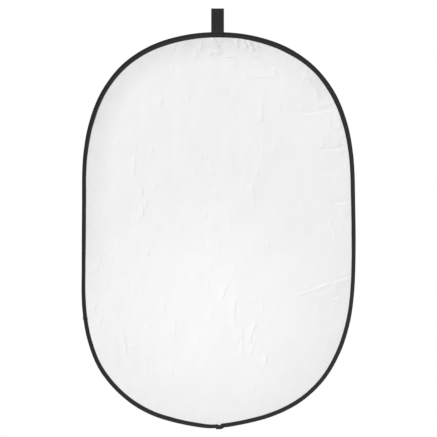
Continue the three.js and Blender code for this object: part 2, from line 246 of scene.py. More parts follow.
# Creases of the white face, as read off the photograph: where each starts and ends, in its
# pixels from the left and the top, then the bow and the height in millimetres (less than 0
# for a valley), and which flank is steep: 1 for the one to the left or above, -1 for the
# other one and 0 for neither.
PIXEL = 3.66 * MM
ORIGIN_PIXEL = (217.6, 9.1)
STEEP_FLANK = 3.2 * MM
GENTLE_FLANK = 24 * MM
FLANK_CURVE = 1.5
EVEN_FLANK = 9 * MM
CREASE_STRENGTH = 0.8
CREASE_FADE = 6 * MM
UP_AND_LEFT = (-0.78, 0.62)
FRONT_CREASES = [
    # Along the top
    (211, 36, 221, 48.6, 1, 3.6, -1), (216, 36, 221.5, 44, 0, 1.6, 1),
    (233.5, 36, 239.6, 43, 1, 2.6, 1), (236.5, 38, 239.4, 49.5, 0, 2.8, -1),
    (239, 38, 248, 49, 2, 3.2, 1), (242.5, 38, 249, 50, 0, 3.2, -1),
    (246, 39, 251.5, 47.5, 0, 2.8, 1), (248.5, 39.5, 255.4, 52.5, 1, 3.8, -1),
    (257.3, 42.5, 258, 50, 0, 2.0, -1), (206.5, 54.4, 211.5, 55.8, -1, 1.2, -1),
    (210.2, 55.8, 214.5, 53, 1, 1.5, -1), (213.4, 53.1, 222, 55, 1, 1.8, -1),
    (223, 57.6, 238.5, 57.4, 1, 1.5, -1), (248, 58, 260.5, 58.6, 1, 1.2, -1),
    (227, 61.3, 239, 61.3, 0, 0.8, -1), (229.5, 65.7, 239.5, 65.7, 0, 0.8, -1),
    (251, 77, 272, 78, 1, 1.2, -1), (275.4, 65, 273.6, 81, 1, 1.1, -1),
    (275.7, 66, 278.4, 81, 1, 1.0, -1), (173, 64.5, 173, 75, 1, 0.9, -1),
    (201.3, 40.5, 201, 52, 1, 1.7, -1), (189.4, 92, 188.6, 102.5, 1, 1.1, -1),
    (176.5, 43, 174, 51, 1, 1.6, -1), (196.5, 52, 195.5, 61, 1, 1.2, -1),
    # Upper right
    (301, 75.6, 310.5, 84, 2, 2.6, 1), (307, 80.4, 318.5, 100, 3, 3.4, 1),
    (304, 73, 313, 83, 1, 1.0, -1), (310.8, 89.5, 311.6, 98.5, 1, 0.9, -1),
    (317, 87, 320.4, 100, 2, 0.9, -1), (299.5, 84, 304, 84.6, 0, 0.7, -1),
    (299, 113.6, 320, 113.3, 1, -1.3, -1), (316, 113.5, 338, 109.6, 3, -1.4, -1),
    (314, 109.4, 336, 104.2, 2, 0.7, -1), (334.6, 112, 335, 122, 1, 0.9, 1),
    (338, 116, 341, 130, 2, 2.1, -1), (339.5, 136.4, 347.5, 137, 0, 1.4, -1),
    (317.5, 150.9, 331.5, 150.3, 1, -1.1, -1), (328.5, 150.1, 343.5, 148.9, 1, -1.2, -1),
    (319.5, 137.3, 331.5, 137.2, 1, 1.0, -1), (335, 140.5, 341.5, 146.5, 2, 2.1, -1),
    (329.5, 117, 331, 127.5, 3, 1.3, -1), (335.8, 150.6, 343.5, 155, 1, 1.9, -1),
    (319.8, 147.4, 324.5, 147.4, 0, 1.3, -1), (320, 174.3, 334, 176.6, 2, 1.0, 1),
    (331, 176.6, 349, 177.6, 1, 0.6, 1), (346, 163, 346.6, 171, 1, 0.9, -1),
    # Right edge
    (330, 205.2, 350.5, 202, 1, -1.6, -1), (327.8, 218, 331.6, 230, 1, 0.8, 1),
    (330.8, 228, 335.4, 240.5, 1, 1.1, 1), (294, 296, 313.5, 291, 1, 1.3, 0),
    (311, 291.5, 333, 283.5, 1, 1.6, 0), (330.5, 284, 351, 277.8, 1, 1.6, 1),
    (331, 290.4, 340, 289.4, 0, 1.4, 1), (303, 289.7, 312, 288.5, 1, 0.8, -1),
    (341.5, 275.2, 350.5, 274.8, 0, 1.2, -1), (330, 288.5, 339, 290.5, 2, 0.9, -1),
    (330.5, 301.2, 341.5, 297.3, 1, 1.1, 1), (334.8, 303, 335.6, 313, 1, 0.8, -1),
    (298.6, 313, 304.6, 321, 1, 0.8, -1), (341.4, 317, 342.4, 332, 1, 0.9, -1),
    # Right of the middle
    (262.4, 110, 261.3, 124.5, 0.5, 1.3, -1), (255, 140, 258.7, 152.6, 1, 1.3, -1),
    (259, 166.5, 257.8, 179, 0.5, 1.0, -1), (251.2, 183.5, 255.4, 204, 1, 1.5, -1),
    (247.9, 184, 252.4, 195.5, 1, 0.9, 1),
    # Middle
    (208.2, 161, 208.8, 175.5, 1, 0.9, 1), (196, 179, 208, 192, 1, 0.8, 1),
    (206.5, 210, 206, 221, 1, 0.8, -1), (219.9, 240, 219.7, 252, 1, 0.8, -1),
    (227.6, 283.5, 221.4, 303, 1, 1.3, -1),
    # Below the middle
    (235.9, 298, 234.1, 314.5, 1, 1.7, -1), (234.1, 311, 235.9, 328, 1, 1.4, -1),
    (242.9, 327, 242, 342, 1, 1.4, -1), (242, 339, 243.5, 360, 1, 1.3, -1),
    (256.9, 321.5, 252.6, 332, 1, 1.6, -1), (252.9, 329, 249.8, 345, 1, 1.6, -1),
    (254.9, 344, 249.8, 357, 1, 1.3, -1), (217.9, 332, 218.2, 340, 0.5, 0.9, 1),
    (196.2, 333.5, 196.4, 341, 0.5, 0.9, 1), (172.8, 368, 172.4, 383, 1, 0.9, -1),
    # Left
    (135.2, 154, 134.6, 178.5, 1, 1.2, -1), (147.6, 197.5, 145.8, 211, 1, 1.3, -1),
    (136, 212, 142, 224, 1, 1.0, -1), (159, 180, 151, 189, 1, 0.9, 1),
    (150.4, 220.5, 157, 232.5, 1, 0.9, 1), (106.8, 283, 105.6, 293, 0.5, 1.2, -1),
    (128.3, 278.5, 127.7, 288.5, 0.5, 0.9, -1), (103.4, 316.5, 99.2, 328.5, -2, 1.2, -1),
    (112.6, 316.5, 115, 327, 1, 0.9, 1), (123.4, 330.5, 127.3, 357.5, 1, 2.0, -1),
    (171.6, 364.5, 171.5, 375, 1, 0.9, -1),
]
# Upright creases that are steep to the right: across, top, bottom and height
UPRIGHT_CREASES = [
    # Right of the middle
    (262.6, 98.5, 113, 1), (253.8, 137, 146, 0.9), (249.9, 142.5, 149.5, 0.8),
    (280.2, 134, 141, 0.8), (275.1, 143, 154, 0.8), (269, 240.5, 249, 0.8),
    # Middle
    (201.8, 153.5, 162, 1), (214.9, 169, 176.5, 0.9), (196.2, 165, 173.5, 0.8),
    (217.2, 189, 199, 0.8), (210.3, 262.5, 269.5, 1.2), (235.9, 263, 276, 0.8),
    (208.4, 281.5, 294, 0.9), (211.3, 307.5, 322, 0.8), (189.6, 245, 251, 0.8),
    # Below the middle
    (238.8, 334, 345, 1.2), (266.4, 354.5, 366, 1.8), (253.9, 387, 394, 1.3),
    (256.7, 295, 301.5, 1.2), (263.2, 303.5, 314.5, 1), (175.4, 318, 338, 1.3),
    # Left
    (161.6, 96.5, 108.5, 1.2), (118, 137, 147, 0.9), (152.8, 145, 154, 0.9),
    (142.2, 186, 198.5, 1.6), (143.3, 203, 218.5, 1.7), (105, 221, 230, 0.9), (99.1, 205, 213, 0.9),
    (97.4, 263.5, 273, 1.3), (100.8, 258, 265, 0.9), (98, 298.5, 307, 1.2), (95.1, 305, 312, 0.9),
    (133.7, 342.5, 350, 1.3), (148.4, 249, 256.5, 1), (112.5, 253.5, 260, 1),
    (149.4, 321.5, 331, 0.8), (135.6, 290.5, 296.5, 0.9), (164.4, 297, 308.5, 0.9),
]

FOLDS = [joint for joint in frame["joints"] if joint["name"].startswith("fold_")]
FOLD_HEIGHTS = [joint["pos_m"][2] for joint in FOLDS]
FOLD_PITCH = FOLD_HEIGHTS[0] - FOLD_HEIGHTS[1]


# Lines and points


def path_lengths(points):
    """How far along a line of points each one lies."""
    steps = np.linalg.norm(np.diff(points, axis=0), axis=1)
    return np.concatenate([[0], np.cumsum(steps)])


def around_section(section):
    """How far round a closed section each corner lies, the first one once more at the end."""
    return path_lengths(np.concatenate([section, section[:1]]))


def ways(line):
    """The way along a line at each of its points, and the way across it."""
    along = np.gradient(line, axis=0)
    along /= np.linalg.norm(along, axis=1)[:, None]
    return along, np.stack([-along[:, 1], along[:, 0]], axis=1)


def tree_of(points):
    """A tree that finds the nearest of the points (x, z)."""
    tree = KDTree(len(points))
    for k, (x, z) in enumerate(points):
        tree.insert((x, z, 0), k)
    tree.balance()
    return tree


def doubled_areas(points, triangles):
    """Twice the area of each flat triangle, less than 0 where it turns clockwise."""
    a, b, c = (points[triangles[:, k]] for k in (0, 1, 2))
    return (b - a)[:, 0] * (c - a)[:, 1] - (b - a)[:, 1] * (c - a)[:, 0]


def ease(value, low, high):
    share = np.clip((value - low) / (high - low), 0, 1)
    return share * share * (3 - 2 * share)


def by_place(table, distances):
    """Values in metres, read off a table in millimetres by distance along."""
    places, values = np.array(table).T * MM
    return np.interp(distances, places, values)


# Rim path


def rim_path():
    """Points round the rim's outer edge, (x, z), and how far along it each lies."""
    knots = np.array(OUTLINE_SHARES) * [HALF_WIDTH, HALF_HEIGHT] + DISC_CENTRE
    count = len(knots)
    share = np.linspace(0, 1, PATH_STEPS, endpoint=False)[:, None]
    spans = []
    for k in range(count):
        a, b, c, d = (knots[(k + step) % count] for step in (-1, 0, 1, 2))
        ab, bc, cd = (math.sqrt(np.linalg.norm(q - p)) for p, q in ((a, b), (b, c), (c, d)))
        leave = ((b - a) / ab - (c - a) / (ab + bc) + (c - b) / bc) * bc
        reach = ((c - b) / bc - (d - b) / (bc + cd) + (d - c) / cd) * bc
        square = -3 * b + 3 * c - 2 * leave - reach
        cube = 2 * b - 2 * c + leave + reach
        spans.append(b + leave * share + square * share**2 + cube * share**3)
    points = np.concatenate([*spans, knots[:1]])
    return points, path_lengths(points)


RIM_POINTS, RIM_ALONG = rim_path()
RIM_LENGTH = RIM_ALONG[-1]
TANGENT_REACH = 1 * MM


def rim_at(distances):
    wrapped = np.mod(distances, RIM_LENGTH)
    return np.stack([np.interp(wrapped, RIM_ALONG, RIM_POINTS[:, k]) for k in (0, 1)], axis=-1)


def stations(distances):
    """Places on the rim's outer edge and the way inwards at each."""
    along = rim_at(distances + TANGENT_REACH) - rim_at(distances - TANGENT_REACH)
    along /= np.linalg.norm(along, axis=1)[:, None]
    return rim_at(distances), np.stack([along[:, 1], -along[:, 0]], axis=1)


def seam_width(height, distance):
    """How far inwards the tape reaches, at a height above the origin and a distance along the rim."""
    low, high = (share * HALF_HEIGHT + DISC_CENTRE[1] for share in WIDE_TAPE_SHARES)
    plain = SEAM_WIDTH_AT_SIDES + (SEAM_WIDTH_AT_TOP - SEAM_WIDTH_AT_SIDES) * ease(height, low, high)
    return plain + by_place(TAPE_WAVER, np.mod(distance, RIM_LENGTH))


# Seeded noise


def ripple(distances, cell, rng):
    """Smooth noise from -1 to 1 along the rim, with one value a cell."""
    count = max(4, round(RIM_LENGTH / cell))
    values = rng.uniform(-1, 1, count)
    place = np.mod(distances / RIM_LENGTH, 1) * count
    first = np.floor(place).astype(int)
    part = ease(place - first, 0, 1)
    return values[first % count] * (1 - part) + values[(first + 1) % count] * part


def relief(points, cell, rng):
    """Smooth noise from -1 to 1 over the disc, with one value a cell of that width and height."""
    place = (points - DISC_CENTRE + [HALF_WIDTH, HALF_HEIGHT]) / cell + 1
    count = (2 * np.array([HALF_WIDTH, HALF_HEIGHT]) / cell).astype(int) + 4
    values = rng.uniform(-1, 1, count)
    first = np.floor(place).astype(int)
    part = ease(place - first, 0, 1)
    total = np.zeros(len(points))
    for right in (0, 1):
        for up in (0, 1):
            weight = np.abs(1 - right - part[:, 0]) * np.abs(1 - up - part[:, 1])
            total += values[first[:, 0] + right, first[:, 1] + up] * weight
    return total


# Meshes


class Surface:
    """A whole surface before the folds part it.

    It has points, faces, each face's UVs and height and, on a cloth, each point's share of painted
    shade.
    """

    def __init__(self, points, faces, uvs, heights, painted_shade=None):
        self.points = points
        self.faces = faces
        self.uvs = uvs
        self.heights = heights
        self.painted_shade = painted_shade
        self.normals = vertex_normals(points, faces)


def vertex_normals(points, faces):
    """Normals of the points, averaged over the faces by area."""
    a, b, c = (points[faces[:, k]] for k in (0, 1, 2))
    normals = np.cross(b - a, c - a)
    if faces.shape[1] == 4:
        d = points[faces[:, 3]]
        normals = np.cross(c - a, d - b)
    total = np.zeros_like(points)
    for k in range(faces.shape[1]):
        for axis in range(3):
            total[:, axis] += np.bincount(faces[:, k], normals[:, axis], len(points))
    return total / np.maximum(np.linalg.norm(total, axis=1), LEAST_LENGTH)[:, None]


def joined(surfaces):
    """Several surfaces with faces of as many sides, as one."""
    starts = np.cumsum([0] + [len(s.points) for s in surfaces])
    return Surface(
        np.concatenate([s.points for s in surfaces]),
        np.concatenate([s.faces + start for s, start in zip(surfaces, starts)]),
        np.concatenate([s.uvs for s in surfaces]),
        np.concatenate([s.heights for s in surfaces]),
    )


def linked(name, data):
    """A new object in the scene, with that data."""
    made = bpy.data.objects.new(name, data)
    bpy.context.scene.collection.objects.link(made)
    return made


def make_object(name, surface, material, chosen=slice(None)):
    """A mesh object of the chosen faces, with the whole surface's normals and its UVs in metres."""
    uvs = surface.uvs[chosen]
    used, faces = np.unique(surface.faces[chosen], return_inverse=True)
    faces = faces.reshape(len(uvs), -1)
    mesh = bpy.data.meshes.new(name)
    mesh.from_pydata(surface.points[used].tolist(), [], faces.tolist())
    layer = mesh.uv_layers.new(name="flat")
    layer.uv.foreach_set("vector", uvs.astype(np.float32).ravel())
    # Each point's share of the painted shade along the seam, which the white cloth's material reads
    if surface.painted_shade is not None:
        painted_shade = mesh.attributes.new("painted_shade", "FLOAT", "POINT")
        painted_shade.data.foreach_set("value", surface.painted_shade[used].astype(np.float32))
    mesh.shade_smooth()
    mesh.normals_split_custom_set_from_vertices(surface.normals[used].tolist())
    mesh.materials.append(material)
    return linked(name, mesh)


def ring_faces(rings, sides):
    """Quads between closed rings of points, each with that many sides."""
    ring = np.arange(rings - 1)[:, None] * sides
    side = np.arange(sides)
    after = (side + 1) % sides
    faces = np.stack([ring + side, ring + after, ring + sides + after, ring + sides + side], axis=-1)
    return faces.reshape(-1, 4)


def ring_uvs(along, around):
    """UVs of the quads between rings: metres along, and metres around the section."""
    u0, v0 = np.meshgrid(along[:-1], around[:-1], indexing="ij")
    u1, v1 = np.meshgrid(along[1:], around[1:], indexing="ij")
    corners = [(u0, v0), (u0, v1), (u1, v1), (u1, v0)]
    return np.stack([np.stack(pair, axis=-1) for pair in corners], axis=2).reshape(-1, 4, 2)


def sweep(distances, sections):
    """A closed section, given as [inset, y] points at each distance, swept along the rim."""
    at, inwards = stations(distances)
    insets = sections[:, :, :1]
    flat = at[:, None] + inwards[:, None] * insets
    points = np.concatenate([flat[:, :, :1], sections[:, :, 1:], flat[:, :, 1:]], axis=2)
    rings, sides = sections.shape[:2]
    middle = (at[:-1, 1] + at[1:, 1]) / 2
    return Surface(
        points.reshape(-1, 3),
        ring_faces(rings, sides),
        ring_uvs(distances, around_section(sections[0])),
        np.repeat(middle, sides),
    )


def thick_line(line, thickness):
    """The closed, anticlockwise outline of a line of that thickness, its ends rounded."""
    along, across = ways(line)
    side = across * thickness / 2
    start = line[:1] - along[:1] * thickness / 3
    end = line[-1:] + along[-1:] * thickness / 3
    outline = np.concatenate([start, line - side, end, (line + side)[::-1]])
    x, y = outline.T
    turning = np.sum(x * np.roll(y, -1) - y * np.roll(x, -1))
    return outline if turning > 0 else np.roll(outline[::-1], 1, axis=0)


# Pieces of the disc, one for each fold


def bend_with_fold(piece):
    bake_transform(piece)


def fold_of(heights):
    """The fold whose piece each height belongs to."""
    below_first = (FOLD_HEIGHTS[0] + FOLD_PITCH / 2 - heights) / FOLD_PITCH
    return np.clip(np.floor(below_first), 0, len(FOLDS) - 1).astype(int)


def replaced_nodes(kinds, number):
    """The CAD nodes of those kinds that the piece round this fold stands for."""
    labels = [f"{number + 1}"]
    if number == 0:
        labels = ["top", "1"]
    if number == len(FOLDS) - 1:
        labels = ["bottom"]
    names = [f"{kind}_{label}" for kind in kinds for label in labels]
    return [name for name in names if name in frame["nodes"]]


def named(piece, slot, *nodes):
    """Hides the CAD nodes that a piece stands for; the piece and its slot are not used."""
    if nodes:
        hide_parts(*nodes)


def folding_pieces(name, surface, material, slot, kinds=()):
    """The surface in one piece for each fold, round that fold's hinge line."""
    folds = fold_of(surface.heights)
    made = []
    for number in range(len(FOLDS)):
        piece = make_object(f"{name}_{number + 1}", surface, material, folds == number)
        bend_with_fold(piece)
        named(piece, slot, *replaced_nodes(kinds, number))
        made.append(piece)
    return made


# Materials

# Pitches of the weaves, and the depths of their bumps
NYLON_PITCH = 0.55 * MM
FOIL_PITCH = 0.6 * MM
WEAVE_DEPTH = 0.03 * MM
NYLON_CRINKLE_DEPTH = 0.5 * MM
FOIL_CRINKLE_DEPTH = 0.8 * MM
TAPE_RIB_PITCH = 0.9 * MM
TAPE_THREAD_PITCH = 0.5 * MM
WEBBING_THREAD_PITCH = 1.1 * MM
RIB_BUMP_DEPTH = 0.12 * MM
FUZZ_DEPTH = 0.05 * MM
TWIST_PITCH = 0.5 * MM
TWIST_DEPTH = 0.06 * MM
CRIMP_DEPTH = 0.05 * MM


def grey(level):
    return (level, level, level)


class Nodes:
    """The emptied nodes of a material or world, with short ways to add and join them."""

    def __init__(self, owner):
        owner.use_nodes = True
        self.tree = owner.node_tree
        self.tree.nodes.clear()

    def add(self, kind, **values):
        node = self.tree.nodes.new(kind)
        for key, value in values.items():
            setattr(node, key, value)
        return node

    def join(self, source, target):
        self.tree.links.new(source, target)

    def math(self, operation, first, second):
        node = self.add("ShaderNodeMath", operation=operation)
        for value, socket in zip((first, second), node.inputs):
            if isinstance(value, (int, float)):
                socket.default_value = value
            else:
                self.join(value, socket)
        return node.outputs["Value"]

    def grey_node(self, kind, level):
        node = self.add(kind)
        node.inputs["Color"].default_value = (*grey(level), 1)
        return node

    def seen_straight(self):
        """1 for rays that show the background, and else 0."""
        path = self.add("ShaderNodeLightPath")
        total = path.outputs["Is Camera Ray"]
        for name in ("Is Glossy Ray", "Is Transmission Ray"):
            total = self.math("MAXIMUM", total, path.outputs[name])
        return total


class Shader(Nodes):
    """A material with one surface shader and what drives it."""

    def __init__(self, name):
        self.material = bpy.data.materials.new(name)
        super().__init__(self.material)
        self.surface = self.add("ShaderNodeBsdfPrincipled")
        output = self.add("ShaderNodeOutputMaterial")
        self.join(self.surface.outputs["BSDF"], output.inputs["Surface"])

    def flat_place(self, scale=(1, 1, 1)):
        """Places on the unfolded cloth or tape, in metres, stretched by the scale."""
        uv = self.add("ShaderNodeUVMap", uv_map="flat")
        mapping = self.add("ShaderNodeMapping")
        mapping.inputs["Scale"].default_value = scale
        self.join(uv.outputs["UV"], mapping.inputs["Vector"])
        return mapping.outputs["Vector"]

    def noise(self, place, scale, detail=2.0, roughness=0.5):
        node = self.add("ShaderNodeTexNoise")
        node.inputs["Scale"].default_value = scale
        node.inputs["Detail"].default_value = detail
        node.inputs["Roughness"].default_value = roughness
        self.join(place, node.inputs["Vector"])
        return node.outputs["Fac"]

    def ribs(self, place, pitch, direction="X", distortion=0.0):
        """Rounded ribs at that pitch, in metres."""
        node = self.add("ShaderNodeTexWave", bands_direction=direction, wave_profile="SIN")
        node.inputs["Scale"].default_value = math.pi / (10 * pitch)
        node.inputs["Distortion"].default_value = distortion
        self.join(place, node.inputs["Vector"])
        return node.outputs["Fac"]

    def ramp(self, factor, low, high, low_at=0.0, high_at=1.0):
        node = self.add("ShaderNodeValToRGB")
        first, last = node.color_ramp.elements
        first.position, last.position = low_at, high_at
        first.color, last.color = (*low, 1), (*high, 1)
        self.join(factor, node.inputs["Fac"])
        return node.outputs["Color"]

    def weave(self, place, pitch):
        """The threads of a plain weave, both ways."""
        return self.math("MAXIMUM", self.ribs(place, pitch, "X"), self.ribs(place, pitch, "Y"))

    def bump(self, height, distance, strength=1.0, under=None):
        node = self.add("ShaderNodeBump")
        node.inputs["Strength"].default_value = strength
        node.inputs["Distance"].default_value = distance
        self.join(height, node.inputs["Height"])
        if under is not None:
            self.join(under, node.inputs["Normal"])
        return node.outputs["Normal"]

    def plain(self, **values):
        """Values that are the same all over the surface."""
        for name, value in values.items():
            self.surface.inputs[name.replace("_", " ")].default_value = value

    def drive(self, name, source):
        self.join(source, self.surface.inputs[name])


def white_nylon():
    shader = Shader("white_nylon")
    place = shader.flat_place()
    mottle = shader.noise(place, 9, 3, 0.6)
    white = shader.ramp(mottle, grey(0.856), grey(0.874), 0.3, 0.7)
    # Painted shade: the white greys towards its seam, in patches, by each point's share of it
    painted_shade = shader.add("ShaderNodeAttribute", attribute_name="painted_shade").outputs["Fac"]
    patchy = shader.ramp(shader.noise(place, 24, 4, 0.6), grey(0.75), grey(1.25), 0.3, 0.7)
    greyed = shader.add("ShaderNodeMix", data_type="RGBA", blend_type="MIX")
    shader.join(shader.math("MULTIPLY", painted_shade, patchy), greyed.inputs["Factor"])
    shader.join(white, greyed.inputs["A"])
    greyed.inputs["B"].default_value = PAINTED_SHADE_COLOUR
    shader.drive("Base Color", greyed.outputs["Result"])
    coating = shader.noise(place, 35, 3)
    shader.drive("Roughness", shader.ramp(coating, grey(0.5), grey(0.62), 0.3, 0.7))
    weave = shader.weave(place, NYLON_PITCH)
    crinkle = shader.noise(shader.flat_place((1, 0.45, 1)), 75, 4, 0.55)
    crinkled = shader.bump(crinkle, NYLON_CRINKLE_DEPTH, 0.5)
    shader.drive("Normal", shader.bump(weave, WEAVE_DEPTH, 0.5, crinkled))
    shader.plain(Sheen_Weight=0.05, Sheen_Roughness=0.4, Specular_IOR_Level=0.35)
    return shader.material


def silver_foil():
    shader = Shader("silver_foil")
    place = shader.flat_place()
    rubbed = shader.noise(place, 14, 4, 0.6)
    shader.drive("Base Color", shader.ramp(rubbed, (0.52, 0.53, 0.54), (0.62, 0.63, 0.64), 0.3, 0.7))
    shader.drive("Roughness", shader.ramp(rubbed, grey(0.36), grey(0.48), 0.3, 0.7))
    crinkle = shader.noise(place, 95, 5, 0.65)
    crinkled = shader.bump(crinkle, FOIL_CRINKLE_DEPTH, 0.6)
    weave = shader.weave(place, FOIL_PITCH)
    shader.drive("Normal", shader.bump(weave, WEAVE_DEPTH, 0.6, crinkled))
    shader.plain(Metallic=0.85)
    return shader.material


def woven_black(name, pitch, across, darkest, palest, roughness):
    """Black woven tape or webbing, ribbed across its length, with fine threads along it."""
    shader = Shader(name)
    place = shader.flat_place()
    worn = shader.noise(place, 60, 4, 0.6)
    ribs = shader.ribs(place, pitch, "X", 0.4)
    threads = shader.ribs(place, across, "Y", 0.3)
    weave = shader.math("MULTIPLY", ribs, threads)
    wear = shader.math("MULTIPLY", worn, 0.65)
    tone = shader.math("ADD", wear, shader.math("MULTIPLY", weave, 0.35))
    shader.drive("Base Color", shader.ramp(tone, grey(darkest), grey(palest), 0.25, 0.75))
    shader.drive("Roughness", shader.ramp(worn, grey(roughness - 0.08), grey(roughness + 0.06)))
    fuzz = shader.bump(shader.noise(place, 1800, 2), FUZZ_DEPTH, 0.4)
    shader.drive("Normal", shader.bump(weave, RIB_BUMP_DEPTH, 0.7, fuzz))
    shader.plain(Sheen_Weight=0.06, Sheen_Roughness=0.5, Specular_IOR_Level=0.25)
    return shader.material


def black_tape():
    return woven_black("black_tape", TAPE_RIB_PITCH, TAPE_THREAD_PITCH, 0.015, 0.0245, 0.84)


def black_webbing():
    return woven_black("black_webbing", RIB_PITCH, WEBBING_THREAD_PITCH, 0.0113, 0.018, 0.8)


def black_thread():
    shader = Shader("black_thread")
    place = shader.flat_place()
    twist = shader.ribs(place, TWIST_PITCH, "DIAGONAL")
    shader.drive("Base Color", shader.ramp(twist, (0.016, 0.016, 0.017), (0.03, 0.03, 0.031)))
    shader.drive("Normal", shader.bump(twist, TWIST_DEPTH, 0.7))
    shader.plain(Roughness=0.62, Sheen_Weight=0.08, Sheen_Roughness=0.4)
    return shader.material


def blued_steel():
    shader = Shader("blued_steel")
    place = shader.flat_place((1, 60, 1))
    grain = shader.noise(place, 40, 4)
    shader.drive("Base Color", shader.ramp(grain, (0.3, 0.31, 0.33), (0.4, 0.41, 0.43), 0.3, 0.7))
    shader.drive("Roughness", shader.ramp(grain, grey(0.28), grey(0.42)))
    shader.plain(Metallic=1.0)
    return shader.material


def crimped_steel():
    shader = Shader("crimped_steel")
    coordinate = shader.add("ShaderNodeTexCoord")
    place = coordinate.outputs["Object"]
    grain = shader.noise(place, 400, 3)
    shader.drive("Base Color", shader.ramp(grain, (0.4, 0.41, 0.42), (0.5, 0.51, 0.52), 0.3, 0.7))
    shader.drive("Roughness", shader.ramp(grain, grey(0.32), grey(0.46)))
    shader.drive("Normal", shader.bump(grain, CRIMP_DEPTH, 0.5))
    shader.plain(Metallic=1.0)
    return shader.material


# Cloths

# Places along the rim from which a point's own place is worked out
MARK_DISTANCES = np.arange(0, RIM_LENGTH, MARK_STEP)
MARK_PLACES, MARK_INWARDS = stations(MARK_DISTANCES)
MARK_TREE = tree_of(MARK_PLACES)


def rim_coordinates(points):
    """How far inwards of the rim's edge each point lies, and how far along the rim."""
    nearest = np.array([MARK_TREE.find((x, z, 0))[1] for x, z in points])
    offset = points - MARK_PLACES[nearest]
    inwards = MARK_INWARDS[nearest]
    forward = np.stack([-inwards[:, 1], inwards[:, 0]], axis=1)
    along = MARK_DISTANCES[nearest] + np.sum(offset * forward, axis=1)
    return np.sum(offset * inwards, axis=1), along


def flat_cloth(rows, creases):
    """A cloth before its relief: points (x, z) and triangles, even but finer at creases."""
    row_pitch = FOLD_PITCH / rows
    side = row_pitch * 2 / math.sqrt(3)
    edge_count = round(RIM_LENGTH / side)
    edge_at, edge_inwards = stations(np.linspace(0, RIM_LENGTH, edge_count, endpoint=False))
    edge = edge_at + edge_inwards * CLOTH_INSET
    first_row = FOLD_HEIGHTS[0] + FOLD_PITCH / 2
    low, high = edge.min(axis=0), edge.max(axis=0)
    lowest, highest = (low[1] - first_row) / row_pitch, (high[1] - first_row) / row_pitch
    row_numbers = np.arange(math.floor(lowest), math.ceil(highest))
    column_numbers = np.arange(math.floor(low[0] / side), math.ceil(high[0] / side) + 1)
    column, row = (numbers.ravel() for numbers in np.meshgrid(column_numbers, row_numbers))
    lattice = np.stack([(column + row % 2 / 2) * side, first_row + row * row_pitch], axis=1)
    on_border = (row % rows == 0) & (row <= 0) & (row >= -rows * (len(FOLDS) - 1))
    inset, _ = rim_coordinates(lattice)
    within = inset > CLOTH_INSET + side / 2
    lattice, on_border = lattice[within], on_border[within]

    added = crease_points(creases)
    from_border = np.abs((added[:, 1] - first_row + FOLD_PITCH / 2) % FOLD_PITCH - FOLD_PITCH / 2)
    inset, _ = rim_coordinates(added)
    added = added[(inset > CLOTH_INSET + side / 2) & (from_border > row_pitch / 2)]
    kept = on_border | (distance_to(lattice, added) > row_pitch / 2)
    lattice, on_border = lattice[kept], on_border[kept]

    border = np.flatnonzero(on_border) + len(edge)
    level = np.abs(np.diff(lattice[on_border][:, 1])) < row_pitch / 2
    edges = np.stack([border[:-1], border[1:]], axis=1)[level]
    given = [Vector(point) for point in np.concatenate([edge, lattice, added])]
    outline = [list(range(len(edge)))]
    points, _, triangles, *_ = delaunay_2d_cdt(given, edges.tolist(), outline, 1, SAME_POINT, False)
    points, triangles = np.array([tuple(point) for point in points]), np.array(triangles)
    sides = points[triangles] - points[np.roll(triangles, 1, axis=1)]
    longest = np.linalg.norm(sides, axis=2).max(axis=1)
    return points, triangles[longest < LONGEST_SIDE * side]


def distance_to(points, others):
    """How far each point is from the nearest of the others."""
    tree = tree_of(others)
    return np.array([tree.find((x, z, 0))[2] for x, z in points])


class Crease:
    """A sharp ridge along a bowed line, or a valley where its height is less than 0."""

    def __init__(self, start, end, bow, height, steep, short, long):
        self.start, self.end = start, end
        self.bow, self.height = bow, height
        self.run = end - start
        self.length = np.linalg.norm(self.run)
        self.leftwards = np.array([-self.run[1], self.run[0]])
        steep_on_left = (self.leftwards @ UP_AND_LEFT > 0) == (steep > 0)
        self.left, self.right = (short, long) if steep_on_left else (long, short)

    def points(self):
        """Points along its top and both flanks."""
        along = np.linspace(0, 1, max(4, round(self.length / CREASE_STEP)))[:, None]
        side = self.leftwards / self.length
        top = self.start + self.run * along + side * 4 * self.bow * along * (1 - along)
        midway = (-CREASE_MIDWAY * self.right, 0, CREASE_MIDWAY * self.left)
        return np.concatenate([top + side * away for away in (-self.right, *midway, self.left)])

    def heights(self, points):
        """Its height at each point, which fades at both ends."""
        along = (points - self.start) @ self.run / self.length**2
        away = (points - self.start) @ self.leftwards / self.length
        away -= 4 * self.bow * along * (1 - along)
        fade = ease(np.minimum(along, 1 - along), 0, CREASE_END_SHARE)
        flank = np.clip(1 - np.abs(away) / np.where(away > 0, self.left, self.right), 0, 1)
        return self.height * flank**FLANK_CURVE * fade

    def add_to(self, heights, points):
        """Adds its height at the points near it."""
        reach = max(self.left, self.right) + abs(self.bow)
        low = np.minimum(self.start, self.end) - reach
        high = np.maximum(self.start, self.end) + reach
        near = np.flatnonzero(np.all((points > low) & (points < high), axis=1))
        heights[near] += self.heights(points[near])


def crease_points(creases):
    """The points of all the creases, thinned out where creases meet."""
    points = np.concatenate([crease.points() for crease in creases])
    _, first = np.unique(np.floor(points / CREASE_GRAIN), axis=0, return_index=True)
    return points[np.sort(first)]


def place_of(x, y):
    """The place (x, z) that a pixel of the photograph shows."""
    return np.array([x - ORIGIN_PIXEL[0], ORIGIN_PIXEL[1] - y]) * PIXEL


def listed_creases():
    creases = []
    upright = [(x, top, x, bottom, 0, height, -1) for x, top, bottom, height in UPRIGHT_CREASES]
    for x0, y0, x1, y1, bow, height, steep in FRONT_CREASES + upright:
        ends = (place_of(x0, y0), place_of(x1, y1))
        flanks = (STEEP_FLANK, GENTLE_FLANK) if steep else (EVEN_FLANK, EVEN_FLANK)
        creases.append(Crease(*ends, bow * MM, CREASE_STRENGTH * height * MM, steep, *flanks))
    return creases


